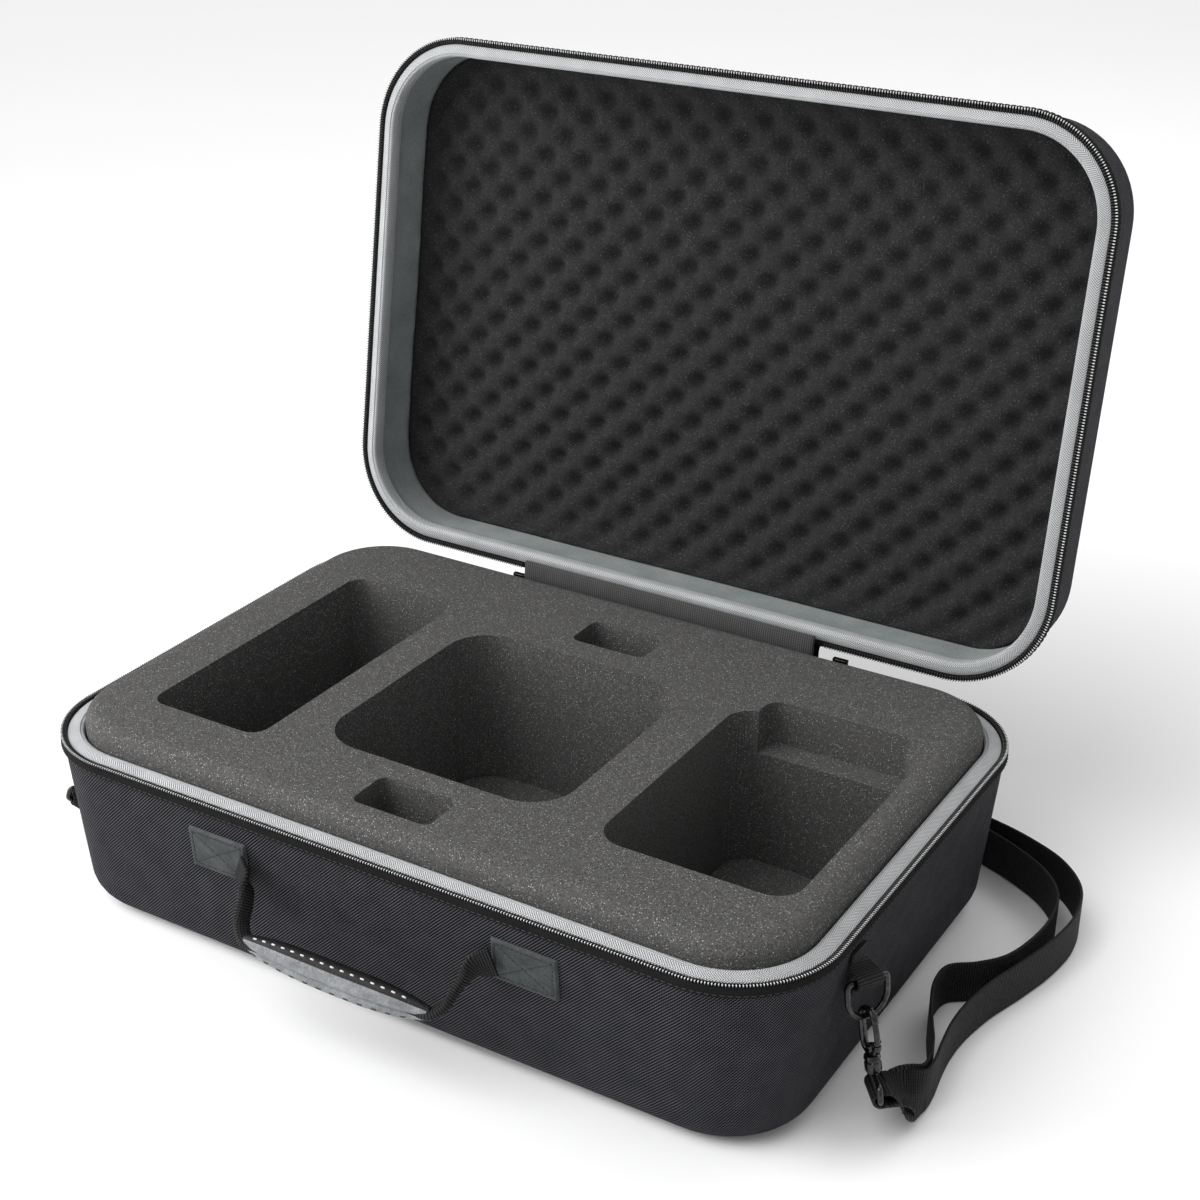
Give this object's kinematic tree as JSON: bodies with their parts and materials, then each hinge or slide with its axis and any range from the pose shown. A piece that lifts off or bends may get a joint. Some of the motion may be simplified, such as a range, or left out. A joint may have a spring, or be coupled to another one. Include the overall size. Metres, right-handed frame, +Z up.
{
  "type": "drone carrying case",
  "caption": "Rectangular hard-shell carrying case with foam cut-outs, egg-crate lid foam, zip rims, front carry handle and a clip-on shoulder strap, shown open.",
  "frame": {"origin": "middle of the flat bottom of the base, on the surface it stands on", "axes": "+X along the long front side, towards the right hand of someone facing the front; +Y from the front to the hinge; +Z up"},
  "size_m": [0.5644, 0.446, 0.4279],
  "materials": {
    "shell_fabric": "matte",
    "lining_felt": "matte",
    "binding_fabric": "matte",
    "zip_tape": "matte",
    "zip_coil": "satin",
    "foam_charcoal": "matte",
    "lid_foam_charcoal": "matte",
    "leatherette": "satin",
    "webbing": "matte",
    "grip_rubber": "matte",
    "black_metal": "gloss"
  },
  "bodies": {
    "base": {"base_shell": "shell_fabric", "base_lining": "lining_felt", "base_binding": "binding_fabric", "base_zip_tape": "zip_tape", "base_zip_teeth": "zip_coil", "foam_floor_pad": "foam_charcoal", "foam_insert": "foam_charcoal", "hinge_panel": "lining_felt", "handle_patch_left": "leatherette", "handle_patch_right": "leatherette", "ring_tab_left": "webbing", "ring_tab_right": "webbing", "strap_webbing": "webbing", "strap_return": "webbing", "strap_adjuster": "black_metal"},
    "lid": {"lid_shell": "shell_fabric", "lid_lining": "lining_felt", "lid_binding": "binding_fabric", "lid_zip_tape": "zip_tape", "lid_zip_teeth": "zip_coil", "lid_foam": "lid_foam_charcoal"},
    "handle": {"handle_webbing": "webbing", "handle_grip": "grip_rubber"},
    "ring_right": {"d_ring_right": "black_metal"},
    "hook_right": {"snap_hook_right": "black_metal"},
    "gate_right": {"hook_gate_right": "black_metal"},
    "eye_right": {"strap_eye_right": "black_metal"},
    "slider_right": {"zip_slider_right": "black_metal"},
    "pull_right": {"zip_pull_right": "black_metal"},
    "ring_left": {"d_ring_left": "black_metal"},
    "hook_left": {"snap_hook_left": "black_metal"},
    "gate_left": {"hook_gate_left": "black_metal"},
    "eye_left": {"strap_eye_left": "black_metal"},
    "slider_left": {"zip_slider_left": "black_metal"},
    "pull_left": {"zip_pull_left": "black_metal"}
  },
  "joints": [
    {"name": "lid_hinge", "type": "hinge", "parent": "base", "child": "lid", "pos_m": [0, 0.1591, 0.113], "axis": [-1, 0, 0], "range_deg": [-99, 46], "deforming": ["hinge_panel"]},
    {"name": "handle_swing", "type": "hinge", "parent": "base", "child": "handle", "pos_m": [0, -0.1605, 0.072], "axis": [-1, 0, 0], "range_deg": [-38, 120]},
    {"name": "ring_swing_right", "type": "hinge", "parent": "base", "child": "ring_right", "pos_m": [0.241, -0.084, 0.079], "axis": [-0.5, -0.866, 0], "range_deg": [-6, 95], "deforming": ["strap_return"]},
    {"name": "hook_tilt_right", "type": "hinge", "parent": "ring_right", "child": "hook_right", "pos_m": [0.24335, -0.08536, 0.05969], "axis": [-0.5, -0.866, 0], "range_deg": [-10, 45]},
    {"name": "gate_press_right", "type": "hinge", "parent": "hook_right", "child": "gate_right", "pos_m": [0.25031, -0.08938, 0.04838], "axis": [-0.5, -0.866, 0], "range_deg": [0, 25], "stiffness_Nm_per_rad": 0.02, "springref_deg": -17.19},
    {"name": "eye_swivel_right", "type": "hinge", "parent": "hook_right", "child": "eye_right", "pos_m": [0.23869, -0.08267, 0.07843], "axis": [-0.239, 0.138, 0.9612], "range_deg": [-40, 40]},
    {"name": "slider_travel_right", "type": "slide", "parent": "base", "child": "slider_right", "axis": [1, 0, 0], "range_m": [0, 0.055]},
    {"name": "pull_flip_right", "type": "hinge", "parent": "slider_right", "child": "pull_right", "pos_m": [0.112, 0.1644, 0.0995], "axis": [-1, 0, 0], "range_deg": [-85, 0]},
    {"name": "ring_swing_left", "type": "hinge", "parent": "base", "child": "ring_left", "pos_m": [-0.241, -0.084, 0.079], "axis": [-0.5, 0.866, 0], "range_deg": [-6, 95], "deforming": ["strap_webbing"]},
    {"name": "hook_tilt_left", "type": "hinge", "parent": "ring_left", "child": "hook_left", "pos_m": [-0.24335, -0.08536, 0.05969], "axis": [-0.5, 0.866, 0], "range_deg": [-10, 45]},
    {"name": "gate_press_left", "type": "hinge", "parent": "hook_left", "child": "gate_left", "pos_m": [-0.25031, -0.08938, 0.04838], "axis": [-0.5, 0.866, 0], "range_deg": [0, 25], "stiffness_Nm_per_rad": 0.02, "springref_deg": -17.19},
    {"name": "eye_swivel_left", "type": "hinge", "parent": "hook_left", "child": "eye_left", "pos_m": [-0.23869, -0.08267, 0.07843], "axis": [-0.239, -0.138, -0.9612], "range_deg": [-40, 40]},
    {"name": "slider_travel_left", "type": "slide", "parent": "base", "child": "slider_left", "axis": [-1, 0, 0], "range_m": [0, 0.055]},
    {"name": "pull_flip_left", "type": "hinge", "parent": "slider_left", "child": "pull_left", "pos_m": [-0.112, 0.1644, 0.0995], "axis": [-1, 0, 0], "range_deg": [-85, 0]}
  ]
}
